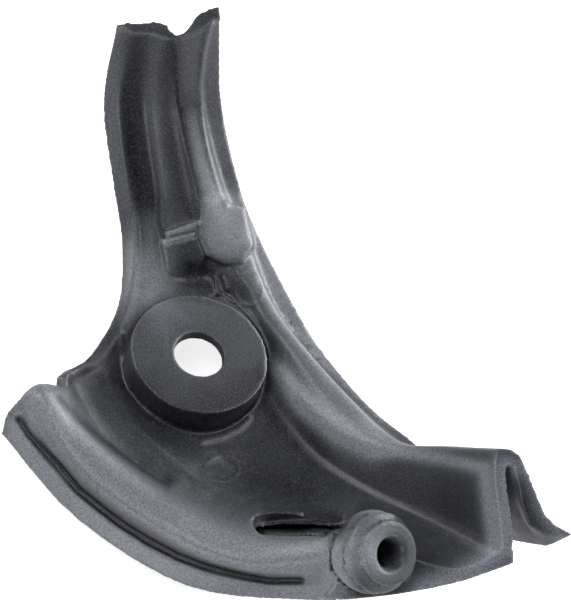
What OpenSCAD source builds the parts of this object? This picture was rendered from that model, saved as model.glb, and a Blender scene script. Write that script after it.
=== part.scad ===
// Bottom bracket cable guide: one thin moulded shell with two cable channels on its back,
// a hollow bolt boss in the middle and a stepped snout for a cable liner.
// The long edges of the sheet are smooth curves through a few points each. The points are
// in the plan frame: X across, Y up the tall arm, Z towards the bolt side. The finished
// part is turned so that Z runs along the bolt, with the origin on the boss face.

/* [Whole guide] */
// Width of the guide, along X of the plan frame
guide_w = 61.4; // [58:0.1:65]
// Height of the guide, along Y of the plan frame
guide_h = 63.1; // [60:0.1:67]
// Depth of the guide, along Z of the plan frame
guide_deep = 36.7; // [34:0.1:39]

/* [Sheet] */
// Wall thickness of the sheet
wall_t = 1.2; // [1:0.05:1.4]
// How far each bend across the sheet is rounded, as a share of the flat beside it
bend_share = 0.3; // [0.15:0.01:0.4]
// Share of the wall that is left under the cable groove at the upper end
cable_groove_share = 0.35; // [0.25:0.05:1]
// Share of the wall on both sides of the narrow crest near the right end
crest_share = 0.55; // [0.5:0.05:0.8]
// Wall in the upper end face at each edge, from the free edge inside the bow to the rim, as
// shares of the wall
upper_shares = [1.2, 1.8, 1.95, 0.5, 1.1, 1.8, 1.7, 1.4, 1.2, 1.1, 0.5];
// The same in the right end face, as far as the foot on the boss side
right_shares = [0.2, 1.7, 0.8, 1.4, 0.95, 0.95, 1];
// Wall of the flange at the right end, as a share of the wall
flange_share = 1.8; // [1:0.05:2]
// How often the points of the inner face are evened out
ease_passes = 5; // [3:1:8]
// Depth of the thin groove along the second channel
groove_depth = 0.45; // [0.3:0.05:0.5]
// How far the second channel's crest drops at its closed left end
nose_drop = 1.5; // [1:0.1:2]
// Number of sections between two marked points of an edge
section_steps = 5; // [4:1:6]

/* [Bolt boss] */
// Outer diameter of the boss
boss_d = 15.2; // [14:0.1:16]
// Height of the boss over the sheet around it
boss_h = 3.4; // [3:0.1:4.5]
// Thickness of the disc under the bolt head
disc_t = 1.4; // [1.1:0.1:2]
// Diameter of the bolt hole
bolt_d = 5.5; // [4.5:0.1:6.6]
// Room for the bolt head's washer, cut into the channel beside the boss
washer_room_d = 16; // [15:0.1:17]
// Angle between the bolt and the plan frame's Z axis
bolt_lean = 34.9; // [30:0.1:40]
// Direction in which the bolt leans, from X towards Y
bolt_heading = 67.5; // [60:0.5:75]

/* [Liner snout] */
// Diameter of the snout's front ring
ring_d = 7; // [6.4:0.1:7.6]
// Length of the front ring
ring_l = 0.6; // [0.4:0.1:1]
// Largest diameter of the rib behind the ring
rib_d = 8.7; // [8:0.1:9]
// Length of the rib
rib_l = 1.2; // [0.8:0.1:1.5]
// Diameter of the collar that closes the channel
collar_d = 9; // [8.6:0.1:9.6]
// Length of the collar
collar_l = 1.6; // [1.2:0.1:2]
// Diameter of the snout's root at its thin end, inside the channel
root_d = 4.4; // [4.2:0.1:5]
// Length of the root
root_l = 5; // [4:0.5:7]
// Width of the grooves beside the rib
snout_gap = 0.4; // [0.2:0.05:0.6]
// Diameter of the liner bore
liner_d = 3; // [2.4:0.1:3.6]
// Diameter of the bore's flared mouth
mouth_d = 3.9; // [3.7:0.1:4.6]
// Centre of the snout's front face, in the plan frame
snout_at = [20.6, -21, 23];
// Angle between the snout and the plan frame's Z axis
snout_lean = 36.9; // [30:0.1:42]
// Direction in which the snout leans, from X towards Y
snout_heading = -2.9; // [-10:0.1:10]

/* [Slot beside the snout] */
// Width of the slot
slot_w = 2.7; // [2:0.1:3.2]
// Distance between the centres of the slot's round ends
slot_l = 9; // [7:0.1:10]
// Centre of the slot's far round end, in the plan frame
slot_at = [7.2, -18.2, 10.7];

/* [Lip and knuckle] */
// Outline of the lip that closes the second channel, in the plane of the right end
lip_outline = [[-16.6, -6.3], [-14.2, -6.4], [-11.2, -6.1], [-8.2, -5.7], [-5, -5.1], [-1.7, -4.3],
    [1, -3.3], [3.6, -2.3], [3.6, -0.9], [2, -1.1], [-2.2, -3.2], [-5, -2.7], [-6.6, -2], [-8.8, 0.9],
    [-11.2, 2], [-13.6, -0.2], [-14.7, -3.1], [-15.8, -5.3]];
// How far the lip lies behind the end face
lip_back = 0.05; // [0.02:0.01:0.1]
// Corners of the knuckle that ends the upper channel, in the plan frame
knuckle = [[0.3, 16.6, -7], [0.2, 12.8, -6.3], [0.9, 11, -6.3], [2.6, 10.1, -6.8], [4.4, 10.3, -7.4],
    [5.4, 12, -7.9], [4.6, 16, -9], [0.8, 11, -9], [4.6, 10, -9.2], [5.6, 12, -9.8]];
// Corners of the two steps beside it, below each other
upper_step = [[-3.5, 13.2, -7.8], [-0.1, 14.4, -7.8], [-3.5, 12.7, -7.2], [-0.1, 13.9, -7.2],
    [-3.7, 11.6, -7.2], [0.4, 12, -7.2], [-3.6, 12.4, -9.4], [0, 13.4, -9.4], [0, 11, -9.4]];
lower_step = [[-4.1, 12.2, -7.8], [-0.6, 13.1, -7.8], [-4, 11.7, -6.9], [-0.6, 12.6, -6.8],
    [-3.6, 9.4, -7.3], [-2.5, 7.5, -7.9], [-1.7, 6.7, -8.2], [-0.8, 6.8, -8.1], [-0.2, 8.6, -7.7],
    [0.4, 10.4, -7.1], [-3.6, 11.6, -9.4], [0, 10.6, -9.4], [-1.2, 7.2, -9.2]];
// Bridge over the back of the second channel, behind the slot: its ends on the web's side and
// on the skirt's side
bridge = [[[5.5, -15.8, 5.6], [5.5, -25.2, 10.2]], [[10.9, -15.8, 4.7], [10.9, -25.6, 11.9]],
    [[15.5, -16.1, 5.2], [15.2, -25.4, 14.6]]];
// Rounding of the knuckle's corners
knuckle_r = 0.4; // [0.2:0.05:0.6]
// Rounding of the steps' corners
step_r = 0.15; // [0.1:0.05:0.3]
// Rounding of the bridge's corners
bridge_r = 0.4; // [0.2:0.05:0.6]

/* [Edges of the sheet] */
// Free edge on the inside of the bow
edge = [[2.3, 36.7, -1.7], [2.4, 27.6, -8], [4.4, 18.4, -10.4], [6.6, 12.7, -10.2], [9.3, 7.3, -10.5],
    [11.8, 2.8, -9.4], [14.3, -0.8, -7.4], [18.8, -5.9, -3.2], [24, -10.1, 1.4], [31.9, -17.4, 8.4], [39.9, -19, 20.7]];
// Foot of the channel beside that edge
foot = [[1.4, 36, -1.3], [0.3, 27.6, -6.6], [2.4, 18.2, -9.5], [5.2, 12.7, -9.6], [7.4, 6.5, -9.8],
    [9.3, 3, -8.8], [11.5, 0, -6.9], [16.6, -5.5, -2.6], [21.8, -10, 1.9], [29.4, -16.2, 8.8], [37.1, -17.4, 20.9]];
// Near side of the channel's crest
crest = [[0.9, 35.7, -1.1], [0, 27.5, -6.1], [2.2, 17.9, -8], [4.8, 12.7, -8.2], [7.1, 7.5, -7.2],
    [9, 4.1, -5.4], [11.2, 1.2, -3.2], [16.6, -4.8, 1.4], [21.8, -9.3, 6.5], [28.4, -9.7, 14.9], [34.3, -10.1, 23.2]];
// Far side of the channel's crest
brow = [[-2.6, 34.2, -0.1], [-2.3, 26.7, -4.9], [-0.4, 17.9, -6.4], [0.7, 12.7, -7.1], [5.2, 7.7, -6.6],
    [7.1, 4.2, -4.9], [9.3, 1.2, -3], [14.2, -5, 1.6], [19.6, -9.3, 6.4], [26.1, -9.8, 14], [31.6, -9.7, 23.4]];
// Crease below the crest
crease = [[-2.9, 34.1, -0.1], [-2.8, 26.7, -5.3], [-1, 17.9, -7.2], [0.3, 12.6, -7.5], [4.4, 6.8, -7],
    [6.3, 3.2, -5.4], [8.3, -0.2, -4], [13.1, -6.7, 1.4], [18.8, -10.7, 6], [25.7, -11.3, 13.4], [31.4, -12.6, 22.4]];
// Round shoulder of the channel
flank = [[-3.8, 34.2, -0.2], [-5.2, 27.6, -5.3], [-4.2, 18, -7.6], [-3.4, 12.8, -7.6], [2.9, 6.3, -7.4],
    [5.3, 2.1, -5.4], [7.4, -2, -3.6], [12.2, -8.7, 0.8], [18.1, -12.6, 5.4], [25.3, -14.6, 12.4], [32, -17, 21.4]];
// Foot of the channel on the boss side
base = [[-4.7, 34.6, -0.4], [-5.9, 27.6, -5.9], [-4.8, 18, -8.6], [-4.2, 12.7, -8.6], [0.6, 5.9, -7.2],
    [3.5, 0.4, -4.6], [6.4, -4.5, -2.7], [11.5, -10.4, 0.5], [17.7, -14.6, 5.2], [25.1, -17.8, 11.8], [32.6, -21.1, 20.3]];
// Lowest line of the web that carries the boss
web = [[-5.7, 34.8, -0.6], [-6.6, 27.6, -6], [-5.5, 18, -8.5], [-4.8, 12.6, -8.4], [-3.4, 5.7, -6.2],
    [-2.3, 0.7, -3.6], [-2.1, -3.9, -1.1], [3.1, -12.1, 2.3], [10.9, -15.9, 5.7], [18.8, -19.1, 11.4], [27.8, -23, 19.6]];
// Far side of the web
valley = [[-6.6, 34.9, -0.6], [-8.3, 27.6, -6], [-7.4, 18.2, -8.4], [-6.7, 12.6, -8.3], [-6.9, 5.9, -5.5],
    [-9.7, -1.1, -1.2], [-10.8, -2.2, -0.1], [-6.6, -8.3, 3.9], [3.9, -15.9, 7.3], [10.9, -17, 11.4], [22.4, -21.5, 20.1]];
// Side of the raised rim, and further on of the second channel
side = [[-7.3, 35, -0.7], [-8.9, 27.6, -5.8], [-7.8, 18.2, -8], [-7.1, 12.4, -7.7], [-7.7, 5.7, -4.8],
    [-10.5, -0.8, -0.4], [-13.6, -3.2, 1.8], [-8.8, -10.2, 5.7], [3.2, -17.5, 9.6], [10.9, -18.6, 13.2], [21.6, -19.1, 20.2]];
// Edge of the rim, and further on the crest of the second channel
rim = [[-9.1, 35.5, -0.8], [-10.7, 27.6, -7.1], [-9.6, 18.2, -9.3], [-8.7, 12.1, -8.6], [-9, 5.4, -5.2],
    [-11.7, 0, -0.4], [-14.5, -3.5, 4.2], [-10.2, -10.9, 9], [2.7, -19.1, 12.6], [10.9, -20.2, 15.9], [19.4, -17.8, 20.6]];
// Far side of the second channel's crest, which starts at the left end
back = [[-17.4, -3.2, 6.9], [-11.7, -13.4, 10.7], [1.6, -21.5, 14], [10.9, -22.4, 16.6], [16.8, -19.3, 20.6]];
// Inner side of the thin groove at the second channel's foot
groove = [[-19, -4.7, 5.6], [-12.4, -14.2, 9.2], [0.5, -22, 12.3], [10.9, -23.6, 14.7], [15.5, -22.2, 19.4]];
// Outer side of that groove
bead = [[-20.9, -6.3, 4.9], [-13.2, -15.2, 9], [0.2, -23.2, 12.2], [10.9, -24.7, 14.5], [14.8, -23.9, 18.4]];
// Free edge on the outside of the bow
skirt = [[-21.5, -8.6, 4], [-13.2, -17.7, 8.3], [-1.2, -24.9, 11.3], [10.9, -26.3, 13.6], [13.6, -25.8, 17.4]];

/* [Hidden] */
$fn = 64;
eps = 0.01;

plastic = [0.13, 0.13, 0.14];

// Edges in order across the sheet. Those of the second channel start at section lobe_key.
edges = [edge, foot, crest, brow, crease, flank, base, web, valley, side, rim, back, groove, bead, skirt];
key_count = len(edge);
lobe_key = key_count - len(back);
rim_rank = 10;

// Places of the sections, counted in marked points, with two more at the second channel's nose
stations = [
    for (i = [0 : (key_count - 1) * section_steps])
        each i == lobe_key * section_steps ? [lobe_key, lobe_key + 0.05, lobe_key + 0.11]
            : [i / section_steps]];
section_count = len(stations);
lobe_section = lobe_key * section_steps;
// Each inner edge gives three points of a section, and the two free edges one each
column_count = 3 * (len(edges) - 2) + 2;
rim_column = 3 * rim_rank - 1;
web_column = 3 * 8 + 1;
// Columns of the cable groove at the back of the brow
groove_first = 3 * 3 - 2;
groove_last = 3 * 4 - 2;
// The thin groove lies between the rails groove and bead, and fades out at both its ends
groove_column = 3 * 12;

// The points below were taken on a guide of this size
drawn = [61.4, 63.1, 36.7];
fit = [guide_w / drawn.x, guide_h / drawn.y, guide_deep / drawn.z];

// Planes that cut off the upper end and the right end, as a point and a normal
upper_cut = [fitted([0, 35, -0.66]), [0, 0.53, 0.85]];
right_cut_lean = 16.7;
right_cut = [fitted([30, -20, 20.5]), [0, -sin(right_cut_lean), cos(right_cut_lean)]];

// Steps of the snout, counted back from its front face
rib_front = -ring_l - snout_gap;
rib_back = rib_front - rib_l;
collar_front = rib_back - snout_gap;
collar_back = collar_front - collar_l;
root_back = collar_back - root_l;

function fitted(p) = [p.x * fit.x, p.y * fit.y, p.z * fit.z];
function unit(v) = v / norm(v);

// Point of a smooth curve through the points p, at u counted in points
function on_curve(p, u) =
    let (last = len(p) - 1,
         k = min(floor(u), last - 1),
         f = u - k,
         a = k > 0 ? p[k - 1] : 2 * p[0] - p[1],
         b = p[k],
         c = p[k + 1],
         d = k + 2 <= last ? p[k + 2] : 2 * p[last] - p[last - 1])
    0.5 * (2 * b + (c - a) * f + (2 * a - 5 * b + 4 * c - d) * f * f
        + (3 * b - a - 3 * c + d) * f * f * f);

// Point of edge number e at section i. The second channel's crest starts low, as a nose.
function edge_point(e, i) =
    let (u = stations[i],
         p = edges[e],
         low = e == rim_rank || e == rim_rank + 1 ? max(0, 1 - abs(u - lobe_key) / 0.15) : 0,
         q = on_curve(p, e > rim_rank ? max(0, u - lobe_key) : u))
    fitted(u < lobe_key ? q : q - [0, 0, nose_drop * low * low * (e == rim_rank ? 0.4 : 1)]);

// How far the outer face is lowered at section i, column c, for the thin groove
function groove_drop(i, c) =
    c == groove_column || c == groove_column + 1
        ? groove_depth * max(0, min(1, (stations[i] - lobe_key - 0.05) / 0.1,
            (key_count - 1.1 - stations[i]) / 0.6))
        : 0;

// Point moved along Z into the plane that ends the sheet
function into_plane(p, cut) =
    [p.x, p.y, cut[0].z - ((p - cut[0]).x * cut[1].x + (p - cut[0]).y * cut[1].y) / cut[1].z];

// Section i of the outer face: every inner edge is rounded with three points
function section(i) =
    let (raw = [for (e = [0 : len(edges) - 1]) edge_point(e, i)],
         whole = i >= lobe_section)
    [for (c = [0 : column_count - 1])
        let (e = floor((c + 2) / 3),
             part = (c + 2) % 3,
             here = raw[e],
             from = e > 0 ? here + (raw[e - 1] - here) * bend_share : here,
             to = e < len(edges) - 1 ? here + (raw[e + 1] - here) * bend_share : here,
             q = e == 0 || e == len(edges) - 1 ? here
                 : part == 0 ? from
                 : part == 2 ? to
                 : e == rim_rank && !whole ? here
                 : 0.25 * from + 0.5 * here + 0.25 * to)
        i == 0 ? into_plane(q, upper_cut)
        : i == section_count - 1 && c <= web_column ? into_plane(q, right_cut)
        : q - [0, 0, groove_drop(i, c)]];

outer = [for (i = [0 : section_count - 1]) section(i)];

// Normal of the outer face at section i, column c
function face_normal(i, c) =
    let (first = c > rim_column ? lobe_section : 0,
         last_c = i < lobe_section ? rim_column : column_count - 1,
         along = outer[min(i + 1, section_count - 1)][c] - outer[max(i - 1, first)][c],
         across = outer[i][min(c + 2, last_c)] - outer[i][max(c - 2, 0)])
    unit(cross(across, along));

// Edge to which column c belongs
function rank(c) = floor((c + 2) / 3);

// Step from the outer to the inner face. In the right end face it stays in that plane.
function wall_step(i, c) =
    let (n = face_normal(i, c),
         cut = unit(right_cut[1]),
         m = i == section_count - 1 ? n - (n * cut) * cut : n)
    i == 0 ? wall_t * upper_shares[rank(c)] * unit([0, -upper_cut[1].z, upper_cut[1].y])
    : m * wall_t * wall_share(i, c) / max(0.6, m * n);

// Share of the wall at section i, column c. The back of the brow has a narrow groove for the
// cable at the upper end. Further on the narrow crest has thinner sides, and the flange beside
// it grows thicker.
function wall_share(i, c) =
    let (u = stations[i],
         e = rank(c))
    c >= groove_first && c <= groove_last && u < 1.5 ? min(1, cable_groove_share + 0.5 * u)
    : i == section_count - 1 ? (e < len(right_shares) ? right_shares[e] : 1)
    : e < 2 ? 1 + (flange_share - 1) * max(0, u / (key_count - 1) * 3 - 2)
    : e < 4 ? 1 - (1 - crest_share) * min(1, max(0, (u - 6) / 1.5))
    : 1;

// Row of inner points pulled together, so that narrow bends don't fold over. The ends stay.
function eased(row, last_c, passes) =
    passes == 0 ? row
    : eased([for (c = [0 : len(row) - 1])
        c == 0 || c >= last_c ? row[c] : 0.25 * row[c - 1] + 0.5 * row[c] + 0.25 * row[c + 1]],
        last_c, passes - 1);

inner = [for (i = [0 : section_count - 1])
    let (last_c = i < lobe_section ? rim_column : column_count - 1)
    eased([for (c = [0 : column_count - 1])
        c <= last_c ? outer[i][c] - wall_step(i, c) : outer[i][c]],
        last_c, i == 0 ? 0 : i == section_count - 1 ? 1 : ease_passes)];

function at(i, c) = i * column_count + c;
function under(i, c) = (section_count + i) * column_count + c;
// Two triangles for the four corners a, b, c, d
function pair(a, b, c, d) = [[a, c, b], [a, d, c]];
function joined(lists) = [for (l = lists) for (x = l) x];

sheet_faces = joined([
    for (i = [0 : section_count - 2], c = [0 : column_count - 2])
        if (c < rim_column || i >= lobe_section)
            joined([pair(at(i, c), at(i, c + 1), at(i + 1, c + 1), at(i + 1, c)),
                pair(under(i, c), under(i + 1, c), under(i + 1, c + 1), under(i, c + 1))]),
    // Upper end, right end and the start of the second channel
    for (c = [0 : rim_column - 1])
        pair(at(0, c), under(0, c), under(0, c + 1), at(0, c + 1)),
    for (c = [0 : column_count - 2])
        let (i = section_count - 1)
        pair(at(i, c), at(i, c + 1), under(i, c + 1), under(i, c)),
    for (c = [rim_column : column_count - 2])
        let (i = lobe_section)
        pair(at(i, c), under(i, c), under(i, c + 1), at(i, c + 1)),
    // Free edge inside the bow, edge of the rim, free edge outside the bow
    for (i = [0 : section_count - 2])
        pair(at(i, 0), at(i + 1, 0), under(i + 1, 0), under(i, 0)),
    for (i = [0 : lobe_section - 1])
        let (c = rim_column)
        pair(at(i, c), under(i, c), under(i + 1, c), at(i + 1, c)),
    for (i = [lobe_section : section_count - 2])
        let (c = column_count - 1)
        pair(at(i, c), under(i, c), under(i + 1, c), at(i + 1, c))
]);

// Turns the plan frame so that Z runs along the bolt
module to_bolt_frame() {
    rotate([0, 0, bolt_heading]) rotate([0, -bolt_lean, 0]) rotate([0, 0, -bolt_heading])
        children();
}

// Places children in the plan frame with their Z along a leaning axis
module leaning(at, lean, heading) {
    translate(at) rotate([0, 0, heading]) rotate([0, lean, 0])
        children();
}

module sheet() {
    polyhedron(points = concat(joined(outer), joined(inner)), faces = sheet_faces, convexity = 8);
}

// Hollow cup that lifts the bolt's disc over the sheet
module boss() {
    translate([0, 0, -boss_h - wall_t])
        cylinder(d = boss_d, h = boss_h + wall_t);
}

// Flat lip in the plane of the right end, below and behind the snout
module lip() {
    translate(right_cut[0]) rotate([right_cut_lean, 0, 0]) translate([0, 0, -wall_t - lip_back])
        linear_extrude(wall_t) scale([fit.x, fit.y])
            polygon(lip_outline);
}

// Solid block with rounded corners at the given points
module block(corners, corner_r) {
    hull()
        for (p = corners)
            translate(fitted(p))
                sphere(corner_r, $fn = 12);
}

// Snout for the cable liner, drawn along Z with its front face at 0
module snout() {
    rotate_extrude()
        polygon([[0, 0], [ring_d / 2, 0], [ring_d / 2, -ring_l], [ring_d / 2 - 0.3, -ring_l],
            [ring_d / 2 - 0.3, rib_front], [ring_d / 2 + 0.15, rib_front], [rib_d / 2, rib_front - 0.6],
            [rib_d / 2, rib_back], [rib_d / 2 - 0.5, rib_back], [rib_d / 2 - 0.5, collar_front],
            [collar_d / 2 - 0.2, collar_front], [collar_d / 2, collar_front - 0.3],
            [collar_d / 2, collar_back], [root_d / 2 + 0.5, collar_back], [root_d / 2, root_back],
            [0, root_back]]);
}

module guide_body() {
    color(plastic)
    difference() {
        union() {
            to_bolt_frame() {
                difference() {
                    sheet();
                    translate(fitted(slot_at)) slot_cutter();
                }
                lip();
                block(knuckle, knuckle_r);
                block(upper_step, step_r);
                block(lower_step, step_r);
                for (k = [0 : len(bridge) - 2])
                    block(concat(bridge[k], bridge[k + 1]), bridge_r);
                leaning(fitted(snout_at), snout_lean, snout_heading) snout();
            }
            boss();
        }
        // Bolt hole, hollow of the boss and room for the washer
        translate([0, 0, -20])
            cylinder(d = bolt_d, h = 30);
        translate([0, 0, -disc_t - 20])
            cylinder(d = boss_d - 2 * wall_t, h = 20);
        cylinder(d = washer_room_d, h = 12);
        // Liner bore with its flared mouth
        to_bolt_frame() leaning(fitted(snout_at), snout_lean, snout_heading) {
            translate([0, 0, root_back - 0.3])
                cylinder(d = liner_d, h = 1.3 - root_back);
            translate([0, 0, -0.8])
                cylinder(d1 = liner_d, d2 = mouth_d, h = 0.8 + eps);
        }
    }
}

// Cutter for the slot, with round ends
module slot_cutter() {
    translate([0, 0, -1.5]) {
        cylinder(d = slot_w, h = 8);
        translate([slot_l, 0, 0])
            cylinder(d = slot_w, h = 8);
        translate([0, -slot_w / 2, 0])
            cube([slot_l, slot_w, 8]);
    }
}

guide_body();
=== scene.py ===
"""Looks of the moulded cable guide: a fine, rounded skin in place of the CAD solid, with a
speckled plastic material, soft studio lights and the photograph's camera."""

import math

import bpy
import numpy as np
from mathutils import Matrix, Vector


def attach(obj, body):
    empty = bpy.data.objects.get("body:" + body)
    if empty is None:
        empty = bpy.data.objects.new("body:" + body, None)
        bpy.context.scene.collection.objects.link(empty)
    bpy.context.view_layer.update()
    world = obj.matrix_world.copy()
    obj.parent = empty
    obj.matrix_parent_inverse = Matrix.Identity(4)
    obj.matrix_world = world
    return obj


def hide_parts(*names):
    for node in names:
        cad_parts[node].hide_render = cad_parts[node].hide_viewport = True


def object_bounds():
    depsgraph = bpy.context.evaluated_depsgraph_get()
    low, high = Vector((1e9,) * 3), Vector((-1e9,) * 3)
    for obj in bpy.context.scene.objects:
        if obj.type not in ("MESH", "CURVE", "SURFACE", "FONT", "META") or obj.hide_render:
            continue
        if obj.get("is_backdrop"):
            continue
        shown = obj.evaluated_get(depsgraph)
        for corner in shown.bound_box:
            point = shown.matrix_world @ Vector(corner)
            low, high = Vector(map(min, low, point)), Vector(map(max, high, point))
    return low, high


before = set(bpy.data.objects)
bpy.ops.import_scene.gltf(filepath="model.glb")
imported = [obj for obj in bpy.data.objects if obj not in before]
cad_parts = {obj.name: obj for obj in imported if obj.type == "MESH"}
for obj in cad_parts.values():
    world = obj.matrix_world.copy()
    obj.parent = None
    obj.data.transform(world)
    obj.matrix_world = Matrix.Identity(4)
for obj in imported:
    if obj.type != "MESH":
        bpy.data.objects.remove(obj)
cad_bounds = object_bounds()

MM = 0.001
NODE = "guide_body"

# The plan frame is the photograph's own: X right, Y up, Z towards the camera, in millimetres,
# with its origin at the centre of the bolt hole. The part's frame is turned by the bolt's lean.
BOLT_LEAN = math.radians(34.9)
BOLT_HEADING = math.radians(67.5)
PLAN_TO_PART = (
    Matrix.Rotation(BOLT_HEADING, 3, "Z")
    @ Matrix.Rotation(-BOLT_LEAN, 3, "Y")
    @ Matrix.Rotation(-BOLT_HEADING, 3, "Z")
)

# The photograph's scale, and the pixel at which the bolt hole's centre lies
IMAGE_W, IMAGE_H = 571, 600
PIXELS_PER_MM = 9.2
HOLE_PIXEL = (199.5, 354.0)


def plan(x, y, z):
    """Point of the plan frame, in millimetres, as a point of the part in metres."""
    return PLAN_TO_PART @ Vector((x, y, z)) * MM


def plan_dir(x, y, z):
    """Direction of the plan frame in the part's frame."""
    return (PLAN_TO_PART @ Vector((x, y, z))).normalized()


def from_pixels(points):
    """Pixels of the photograph as plan points, in millimetres."""
    pixels = np.array(points, float)
    return (pixels - HOLE_PIXEL) / PIXELS_PER_MM * (1, -1)


# ---------------------------------------------------------------------------------------
# Mesh

VOXEL = 0.20 * MM
SMOOTH_FACTOR = 0.5
SMOOTH_ROUNDS = 8
# Share of the faces that is left after thinning
KEEP_SHARE = 0.42

# The front is what lies this close under the highest vertex of its cell and faces the camera
FRONT_CELL_MM = 0.5
FRONT_DEPTH_MM = 2.5
FACING_LEAST = 0.15

FAR = 1e9

# Creases of the solid that the moulding doesn't have are smoothed away inside these outlines
EASED = [
    [(198, 190), (246, 190), (252, 240), (233, 224), (206, 222)],
    [(70, 360), (118, 352), (118, 384), (70, 384)],
]
EASED_ROUNDS = 60

# Lines on the side the camera sees, in the photograph's pixels
OUTER_GROOVE = [
    (22, 420), (30, 433), (45, 449), (62, 466), (80, 488), (100, 504), (120, 520),
    (150, 539), (180, 554), (210, 564), (240, 571), (270, 577), (300, 576),
]
OUTER_CREST = [
    (40, 402), (62, 420), (80, 441), (100, 461), (120, 482), (150, 507), (180, 524),
    (210, 539), (250, 549), (300, 553), (335, 553),
]
OUTER_FLANGE = [
    (20, 432), (50, 474), (80, 506), (110, 533), (150, 558), (200, 580), (330, 592),
]
INNER_CREASE = [(62, 397), (80, 419), (100, 436), (120, 451), (150, 470), (168, 480)]
SECOND_RIDGE = [(103, 373), (114, 393), (133, 421), (167, 454), (200, 479), (240, 500)]
ARM_RIDGE = [
    (211, 20), (203, 50), (199, 84), (202, 120), (208, 150), (217, 180), (226, 205),
]
RECESS_RIM = [
    (201, 297), (220, 293), (233.5, 302), (248.7, 315), (259.6, 330), (266, 344), (269, 361),
]
ARCH_BAND = [(276, 372), (304, 404), (340, 432), (372, 446)]
END_EDGE = [(119, 22), (131, 34), (150, 34), (161, 36), (173, 40), (190, 36), (220, 17)]
UPPER_STEP = [(167, 232.7), (198.6, 221.8)]
LOWER_STEP = [(163, 241.8), (194, 233.6)]


def ring(centre, across, up, count=40):
    """Ellipse as a closed line of pixels."""
    turns = [2 * math.pi * step / count for step in range(count + 1)]
    return [
        (centre[0] + across * math.cos(turn), centre[1] + up * math.sin(turn))
        for turn in turns
    ]


# Relief along lines: (pixels, width mm, height mm). A height below nought is a groove.
RELIEF_FALL = 1.2
RELIEF = [
    (OUTER_CREST, 5.0, 0.55),
    (OUTER_GROOVE, 0.9, -0.28),
    (INNER_CREASE, 1.8, -0.17),
    (SECOND_RIDGE, 1.2, 0.10),
    (ARM_RIDGE, 0.7, 0.16),
    (ARCH_BAND, 2.2, 0.22),
    # Fillet at the boss's foot, on its left and below
    ([(121, 335), (121, 352), (126, 375), (131, 388)], 0.7, 0.16),
    ([(203, 441), (222, 437), (240, 428), (249, 419)], 0.8, 0.18),
    # Sunken edge of the slot, and the upper end's rim
    ([(268, 519), (300, 516), (335, 514)], 1.8, -0.5),
    (END_EDGE, 0.5, 0.12),
    # Chamfered lines of the two steps, and the line that joins them on their left
    (UPPER_STEP, 0.60, 0.28),
    (LOWER_STEP, 0.60, 0.28),
    ([UPPER_STEP[0], LOWER_STEP[0]], 0.45, 0.15),
    # Dark pocket under the knuckle, and its two thin ribs
    ([(190, 272), (212, 276)], 2.6, -0.55),
    ([(214, 277), (217, 293)], 0.40, 0.30),
    ([(223, 278), (227, 289)], 0.40, 0.22),
    # Recess round the boss, the marks of three ejector pins, and a pip on the lower edge
    (RECESS_RIM, 0.35, 0.12),
    (ring((248.7, 287.6), 14, 18), 0.25, 0.05),
    (ring((222, 468), 17, 12), 0.25, 0.04),
    (ring((315, 392), 14, 12), 0.25, 0.04),
    (ring((320, 594), 4, 3), 0.5, 0.10),
]


def apply_modifier(skin, kind, **values):
    """Run one modifier on the skin and keep its result."""
    modifier = skin.modifiers.new(kind.lower(), kind)
    for name, value in values.items():
        setattr(modifier, name, value)
    graph = bpy.context.evaluated_depsgraph_get()
    done = bpy.data.meshes.new_from_object(skin.evaluated_get(graph))
    skin.modifiers.clear()
    skin.data = done


def smooth(skin, rounds, **values):
    """Smooth the skin, and keep the result."""
    apply_modifier(skin, "SMOOTH", factor=SMOOTH_FACTOR, iterations=rounds, **values)


def read_vectors(skin, name):
    """Vertex places or normals in the part's frame, one row for each vertex."""
    values = np.empty(len(skin.data.vertices) * 3, np.float32)
    skin.data.vertices.foreach_get(name, values)
    return values.reshape(-1, 3)


def read_places(skin):
    """Vertex places in the plan frame, in millimetres."""
    return read_vectors(skin, "co").astype(float) @ np.array(PLAN_TO_PART) / MM


def read_normals(skin):
    """Vertex normals in the plan frame."""
    return read_vectors(skin, "normal").astype(float) @ np.array(PLAN_TO_PART)


def write_places(skin, places):
    """Set the vertex places from the plan frame's millimetres."""
    in_part = places @ np.array(PLAN_TO_PART).T * MM
    skin.data.vertices.foreach_set("co", in_part.astype(np.float32).ravel())
    skin.data.update()


def line_distance(points, line):
    """Distance of each plan point from a line of several straight runs."""
    best = np.full(len(points), FAR)
    for start, end in zip(line[:-1], line[1:]):
        run = end - start
        share = np.clip((points - start) @ run / (run @ run), 0, 1)
        best = np.minimum(best, np.hypot(*(points - start - share[:, None] * run).T))
    return best


def line_share(points, pixels, width, fall):
    """Share from 1 on a line to nearly 0 beyond its width."""
    near = line_distance(points, from_pixels(pixels)) / (width / 2)
    return np.exp(-(near**2) * fall)


def inside(points, outline):
    """Which plan points lie inside an outline."""
    held = np.zeros(len(points), bool)
    x, y = points.T
    for (x0, y0), (x1, y1) in zip(outline, np.roll(outline, -1, 0)):
        crosses = (y0 > y) != (y1 > y)
        with np.errstate(divide="ignore", invalid="ignore"):
            held ^= crosses & (x < (x1 - x0) * (y - y0) / (y1 - y0) + x0)
    return held


def front_vertices(places, normals):
    """Which vertices the camera sees, found with a coarse height map."""
    cells = np.floor(places[:, :2] / FRONT_CELL_MM).astype(int)
    cells -= cells.min(0)
    row = cells[:, 0] * (cells[:, 1].max() + 1) + cells[:, 1]
    top = np.full(row.max() + 1, -FAR)
    np.maximum.at(top, row, places[:, 2])
    return (places[:, 2] > top[row] - FRONT_DEPTH_MM) & (normals[:, 2] > FACING_LEAST)


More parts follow.
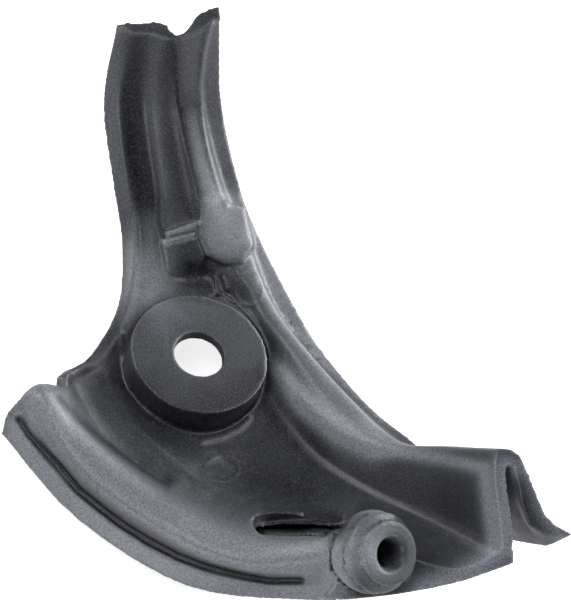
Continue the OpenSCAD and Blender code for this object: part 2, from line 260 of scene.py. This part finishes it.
def ease_creases(skin):
    """Smooth the front inside the outlines of EASED, and nowhere else."""
    places = read_places(skin)
    front = front_vertices(places, read_normals(skin))
    group = skin.vertex_groups.new(name="eased")
    for outline in EASED:
        held = front & inside(places[:, :2], from_pixels(outline))
        group.add(np.flatnonzero(held).tolist(), 1.0, "REPLACE")
    smooth(skin, EASED_ROUNDS, vertex_group="eased")
    skin.vertex_groups.clear()


def add_relief(skin):
    """Move the vertices under each line of the relief along their normals."""
    places, normals = read_places(skin), read_normals(skin)
    front = front_vertices(places, normals)
    lift = np.zeros(front.sum())
    for pixels, width, height in RELIEF:
        lift += height * line_share(places[front, :2], pixels, width, RELIEF_FALL)
    places[front] += normals[front] * lift[:, None]
    write_places(skin, places)


# Painted light and shade on the moulding, from 0 for painted shade in its recesses to 1 for
# painted
# light on its lit faces: (pixels, width mm, change from the plain tone).
PLAIN_TONE = 0.27
PAINTED_LIGHT_FALL = 0.9
PAINTED_LIGHT_LINES = [
    # Painted light on the outer channel's crest, its flange and the snout; painted shade in its
    # groove and the inner crease
    (OUTER_CREST, 6.0, 0.60),
    ([(190, 533), (230, 547), (300, 555)], 4.0, 0.18),
    (OUTER_FLANGE, 3.4, 0.85),
    ([(330, 560), (352, 552), (372, 535)], 6.0, 0.40),
    (OUTER_GROOVE, 1.0, -1.05),
    (INNER_CREASE, 0.9, -0.45),
    # Painted shade on the face between the outer channel and the web
    ([(88, 405), (110, 428), (135, 452), (165, 476)], 2.5, -0.08),
    ([(150, 440), (190, 462), (240, 478), (300, 490)], 4.0, -0.14),
    # Upper arm: painted light on the left rim, the face down to the knuckle and the knuckle;
    # painted shade on two bands and in the knuckle's pocket
    ([(120, 30), (110, 90), (112, 150), (126, 210), (130, 270), (122, 320)], 1.6, 0.18),
    ([(133, 45), (130, 100), (133, 150), (142, 200)], 2.3, -0.26),
    ([(172, 50), (174, 100), (181, 150), (191, 205)], 2.2, -0.36),
    ([(190, 120), (198, 160), (210, 195)], 2.2, 0.20),
    ([(222, 205), (224, 240)], 4.5, 0.42),
    ([(193, 271), (212, 281)], 2.2, -0.38),
    # Painted light on the neck above the boss, the long slope on its right and the arch's band;
    # painted shade inside the arch
    ([(150, 262), (150, 292)], 4.6, 0.58),
    ([(258, 240), (272, 285), (296, 335), (330, 385), (368, 420)], 3.4, 0.50),
    (ARCH_BAND, 3.0, 1.10),
    ([(272, 372), (282, 410), (320, 450)], 2.4, -0.30),
    # Arch: painted shade on its wall, painted highlight on its crest, painted light on its end
    ([(385, 470), (420, 490), (470, 505)], 4.5, -0.08),
    ([(385, 449), (440, 456), (479, 464), (483, 500), (489, 538)], 1.5, 0.75),
    ([(500, 462), (500, 545), (470, 564), (420, 582)], 2.6, 0.72),
    ([(520, 462), (540, 510), (556, 532)], 1.8, 0.50),
    # Snout: painted shade on the collar behind its ring, and in the tunnel at the right end
    ([(340, 520), (346, 560), (364, 584)], 1.3, -0.35),
    ([(511, 480), (516, 510), (526, 540)], 1.6, -0.35),
    # Painted highlights on the edges of the two steps, and painted shade in the slot's mouth
    (UPPER_STEP, 0.5, 0.55),
    (LOWER_STEP, 0.5, 0.55),
    ([(275, 522), (338, 522)], 2.2, -0.5),
    # Painted shade on the wall and foot of the boss
    ([(135, 385), (165, 412), (200, 420), (240, 408), (262, 380)], 2.4, -0.40),
    ([(262, 360), (268, 400), (300, 440)], 1.6, -0.20),
]

# Wear on edges and painted shade in creases: how far a vertex stands out of the smoothed
# surface, in millimetres, for its full share
WEAR_AND_CREASE_SHADE_ROUNDS = 24
WEAR_AND_CREASE_SHADE_MM = 0.08
WEAR_AND_CREASE_SHADE_SHARE = 0.15


def paint_light_shade_and_wear(skin):
    """Attribute from 0 to 1: painted light and shade on each part of the moulding, with its
    edges worn paler and its creases darkened by painted shade."""
    places, normals = read_places(skin), read_normals(skin)
    sharp = skin.data
    skin.data = sharp.copy()
    smooth(skin, WEAR_AND_CREASE_SHADE_ROUNDS)
    out = ((places - read_places(skin)) * normals).sum(1) / WEAR_AND_CREASE_SHADE_MM
    skin.data = sharp
    # Edges that stand out are paler as wear; creases that sink in are darker as painted shade
    painted_light_shade_and_wear = PLAIN_TONE + WEAR_AND_CREASE_SHADE_SHARE * np.clip(out, -1, 1)
    front = front_vertices(places, normals)
    # Painted light and shade along each line of the table
    for pixels, width, change in PAINTED_LIGHT_LINES:
        painted_light_shade_and_wear[front] += change * line_share(places[front, :2], pixels, width, PAINTED_LIGHT_FALL)
    # The attribute carries the painted light and shade and the worn edges
    held = skin.data.attributes.new("painted_light_shade_and_wear", "FLOAT", "POINT")
    held.data.foreach_set("value", np.clip(painted_light_shade_and_wear, 0, 1).astype(np.float32))


def keep_in_box(skin):
    """Hold the skin's vertices inside the box of the CAD."""
    least, most = (np.array(corner, np.float32) for corner in cad_bounds)
    held = np.clip(read_vectors(skin, "co"), least, most)
    skin.data.vertices.foreach_set("co", held.ravel())
    skin.data.update()


def make_skin(source):
    """Copy of the CAD solid, remeshed so that its edges are rounded."""
    skin = bpy.data.objects.new("guide_skin", source.data.copy())
    bpy.context.scene.collection.objects.link(skin)
    apply_modifier(skin, "REMESH", mode="VOXEL", voxel_size=VOXEL, adaptivity=0.0)
    smooth(skin, SMOOTH_ROUNDS)
    ease_creases(skin)
    add_relief(skin)
    keep_in_box(skin)
    # Paint light, shade and wear into an attribute of the skin
    paint_light_shade_and_wear(skin)
    apply_modifier(skin, "DECIMATE", ratio=KEEP_SHARE)
    skin.data.polygons.foreach_set("use_smooth", [True] * len(skin.data.polygons))
    skin.data.update()
    return skin


# ---------------------------------------------------------------------------------------
# Material


def new_node(tree, kind, inputs=None, **values):
    """Shader node with its settings and its sockets' own values."""
    node = tree.nodes.new(kind)
    for name, value in values.items():
        setattr(node, name, value)
    for name, value in (inputs or {}).items():
        node.inputs[name].default_value = value
    return node


def noise(tree, place, size_mm, detail):
    """Noise whose features are about the given size."""
    node = new_node(
        tree, "ShaderNodeTexNoise", {"Scale": 1 / (size_mm * MM), "Detail": detail}
    )
    tree.links.new(place.outputs["Object"], node.inputs["Vector"])
    return node.outputs["Fac"]


def mapped(tree, source, low, high, to_low, to_high):
    """Value carried from one range to another."""
    node = new_node(
        tree,
        "ShaderNodeMapRange",
        {"From Min": low, "From Max": high, "To Min": to_low, "To Max": to_high},
    )
    tree.links.new(source, node.inputs["Value"])
    return node.outputs["Result"]


# Colour sockets of the Mix node
MIX_FIRST, MIX_SECOND, MIX_RESULT = 6, 7, 2


def mixed(tree, share, first, second):
    """Colour between two others; each is a plain colour or another node's output."""
    node = new_node(tree, "ShaderNodeMix", data_type="RGBA")
    tree.links.new(share, node.inputs["Factor"])
    for socket, colour in ((MIX_FIRST, first), (MIX_SECOND, second)):
        if isinstance(colour, tuple):
            node.inputs[socket].default_value = colour
        else:
            tree.links.new(colour, node.inputs[socket])
    return node.outputs[MIX_RESULT]


# Dark end for painted shade and pale end for painted light; the plain plastic lies between them
SHADE_END_COLOUR = (0.006, 0.006, 0.008, 1)
LIGHT_END_COLOUR = (0.215, 0.222, 0.242, 1)
FIBRE_COLOUR = (0.26, 0.27, 0.30, 1)
TONE_POWER = 1.6

# Noises: (size mm, detail), and the ranges that carry them: from low, high, to low, high
GRAIN_NOISE, GRAIN_RANGE = (0.21, 2.0), (0.3, 0.7, 0.6, 1.4)
FIBRE_NOISE, FIBRE_RANGE = (0.17, 2.0), (0.48, 0.80, 0.0, 0.30)
PATCH_NOISE, ROUGHNESS_RANGE = (1.6, 3.0), (0.3, 0.7, 0.32, 0.42)
BUMP_NOISE = (0.16, 2.0)
BUMP_STRENGTH = 0.45
BUMP_DEPTH = 0.03 * MM
SPECULAR = 0.5


def plastic():
    """Black nylon with a fine pale speckle of glass fibre, in tones of painted light and shade
    and of worn edges.
    """
    material = bpy.data.materials.new("plastic")
    material.use_nodes = True
    tree = material.node_tree
    link = tree.links.new
    shader = tree.nodes["Principled BSDF"]
    place = new_node(tree, "ShaderNodeTexCoord")

    # Colour: from painted shade to painted light, with worn edges, and with fibres near the
    # skin as dots
    painted_light_shade_and_wear = new_node(tree, "ShaderNodeAttribute", attribute_name="painted_light_shade_and_wear")
    share = new_node(tree, "ShaderNodeMath", {1: TONE_POWER}, operation="POWER")
    link(painted_light_shade_and_wear.outputs["Fac"], share.inputs[0])
    # Colour of the painted light and shade and of the wear
    painted_tone = mixed(tree, share.outputs[0], SHADE_END_COLOUR, LIGHT_END_COLOUR)
    grain = mapped(tree, noise(tree, place, *GRAIN_NOISE), *GRAIN_RANGE)
    grained = new_node(tree, "ShaderNodeVectorMath", operation="SCALE")
    link(painted_tone, grained.inputs[0])
    link(grain, grained.inputs["Scale"])
    fibre = mapped(tree, noise(tree, place, *FIBRE_NOISE), *FIBRE_RANGE)
    link(mixed(tree, fibre, grained.outputs[0], FIBRE_COLOUR), shader.inputs["Base Color"])

    patches = noise(tree, place, *PATCH_NOISE)
    link(mapped(tree, patches, *ROUGHNESS_RANGE), shader.inputs["Roughness"])

    bump = new_node(
        tree, "ShaderNodeBump", {"Strength": BUMP_STRENGTH, "Distance": BUMP_DEPTH}
    )
    link(noise(tree, place, *BUMP_NOISE), bump.inputs["Height"])
    link(bump.outputs["Normal"], shader.inputs["Normal"])
    shader.inputs["Specular IOR Level"].default_value = SPECULAR
    return material


# ---------------------------------------------------------------------------------------
# Scene

WHITE = (1, 1, 1, 1)
FLOOR_SIZE = 1.2
FLOOR_DROP_MM = 0.05
FLOOR_COLOUR = (0.85, 0.85, 0.86, 1)
FLOOR_ROUGHNESS = 0.9
FLOOR_GLOW = 0.78
WORLD_LEVEL = 0.02


def floor_material():
    """Pale floor that the camera sees as white, and that keeps the part's soft shadow."""
    material = bpy.data.materials.new("floor")
    material.use_nodes = True
    tree = material.node_tree
    shader = tree.nodes["Principled BSDF"]
    shader.inputs["Base Color"].default_value = FLOOR_COLOUR
    shader.inputs["Roughness"].default_value = FLOOR_ROUGHNESS
    path = new_node(tree, "ShaderNodeLightPath")
    glow = mapped(tree, path.outputs["Is Camera Ray"], 0.0, 1.0, 0.0, FLOOR_GLOW)
    shader.inputs["Emission Color"].default_value = WHITE
    tree.links.new(glow, shader.inputs["Emission Strength"])
    return material


def make_floor(low_z):
    """Plain floor just under the part's lowest point."""
    bpy.ops.mesh.primitive_plane_add(
        size=FLOOR_SIZE, location=(0, 0, low_z - FLOOR_DROP_MM * MM)
    )
    floor = bpy.context.object
    floor.name = "floor"
    floor.data.materials.append(floor_material())
    floor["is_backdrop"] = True


# Soft lights: polar angle off the camera's axis, azimuth from the image's right towards its
# top (degrees), width and height (mm), and power (W). All stand at one distance, and the floor
# cuts off what reaches below it, which is most of back_top_left.
LIGHT_DISTANCE_MM = 300.0
LIGHT_AIM = (9.0, 0.0, 5.0)
LIGHT_COLOUR = (0.96, 0.975, 1.0)
LIGHTS = [
    ("front_top", 30, 120, 140, 140, 0.24),
    ("front_right", 50, 36, 140, 140, 0.26),
    ("front_left", 50, 216, 140, 140, 0.24),
    ("top_left", 70, 138, 170, 140, 0.34),
    ("bottom_right", 70, 308, 140, 140, 0.18),
    ("right", 90, 12, 200, 140, 0.95),
    ("right_high", 90, 51, 140, 140, 0.30),
    ("back_right", 112, 36, 140, 140, 0.56),
    ("back_top_left", 112, 144, 140, 140, 0.36),
]


def soft_light(name, polar, azimuth, width, height, power):
    """Rectangular soft light in the given direction of the plan frame."""
    data = bpy.data.lights.new(name, "AREA")
    data.shape = "RECTANGLE"
    data.size, data.size_y = width * MM, height * MM
    data.energy = power
    data.color = LIGHT_COLOUR
    light = bpy.data.objects.new(name, data)
    bpy.context.scene.collection.objects.link(light)
    tilt, turn = math.radians(polar), math.radians(azimuth)
    away = Vector(
        (math.sin(tilt) * math.cos(turn), math.sin(tilt) * math.sin(turn), math.cos(tilt))
    )
    light.location = plan(*(Vector(LIGHT_AIM) + away * LIGHT_DISTANCE_MM))
    light.rotation_euler = (-plan_dir(*away)).to_track_quat("-Z", "Y").to_euler()


def make_world(level):
    """White studio air: pure white where the camera sees it, a low fill elsewhere."""
    world = bpy.data.worlds.new("studio")
    bpy.context.scene.world = world
    world.use_nodes = True
    tree = world.node_tree
    tree.nodes.clear()
    out = new_node(tree, "ShaderNodeOutputWorld")
    path = new_node(tree, "ShaderNodeLightPath")
    air = new_node(tree, "ShaderNodeBackground", {"Color": WHITE})
    strength = mapped(tree, path.outputs["Is Camera Ray"], 0.0, 1.0, level, 1.0)
    tree.links.new(strength, air.inputs["Strength"])
    tree.links.new(air.outputs[0], out.inputs["Surface"])


CAMERA_DISTANCE_MM = 900.0
SENSOR_MM = 36.0
CLIP_FROM, CLIP_TO = 0.05, 5.0


def make_camera():
    """Long lens straight at the plan frame, framed as the photograph."""
    data = bpy.data.cameras.new("camera")
    camera = bpy.data.objects.new("camera", data)
    bpy.context.scene.collection.objects.link(camera)
    bpy.context.scene.camera = camera
    centre = from_pixels([(IMAGE_W / 2, IMAGE_H / 2)])[0]
    camera.location = plan(centre[0], centre[1], CAMERA_DISTANCE_MM)
    turn = Matrix((plan_dir(1, 0, 0), plan_dir(0, 1, 0), plan_dir(0, 0, 1))).transposed()
    camera.rotation_mode = "QUATERNION"
    camera.rotation_quaternion = turn.to_quaternion()
    # The sensor's width is that of the image's long side, which is its height here
    view_mm = max(IMAGE_W, IMAGE_H) / PIXELS_PER_MM
    data.sensor_width = SENSOR_MM
    data.lens = data.sensor_width * CAMERA_DISTANCE_MM / view_mm
    data.clip_start, data.clip_end = CLIP_FROM, CLIP_TO


skin = make_skin(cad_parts[NODE])
skin.data.materials.clear()
skin.data.materials.append(plastic())
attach(skin, "root")
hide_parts(NODE)

make_floor(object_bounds()[0].z)
make_world(WORLD_LEVEL)
for light in LIGHTS:
    soft_light(*light)
make_camera()
bpy.context.scene.view_settings.view_transform = "Standard"
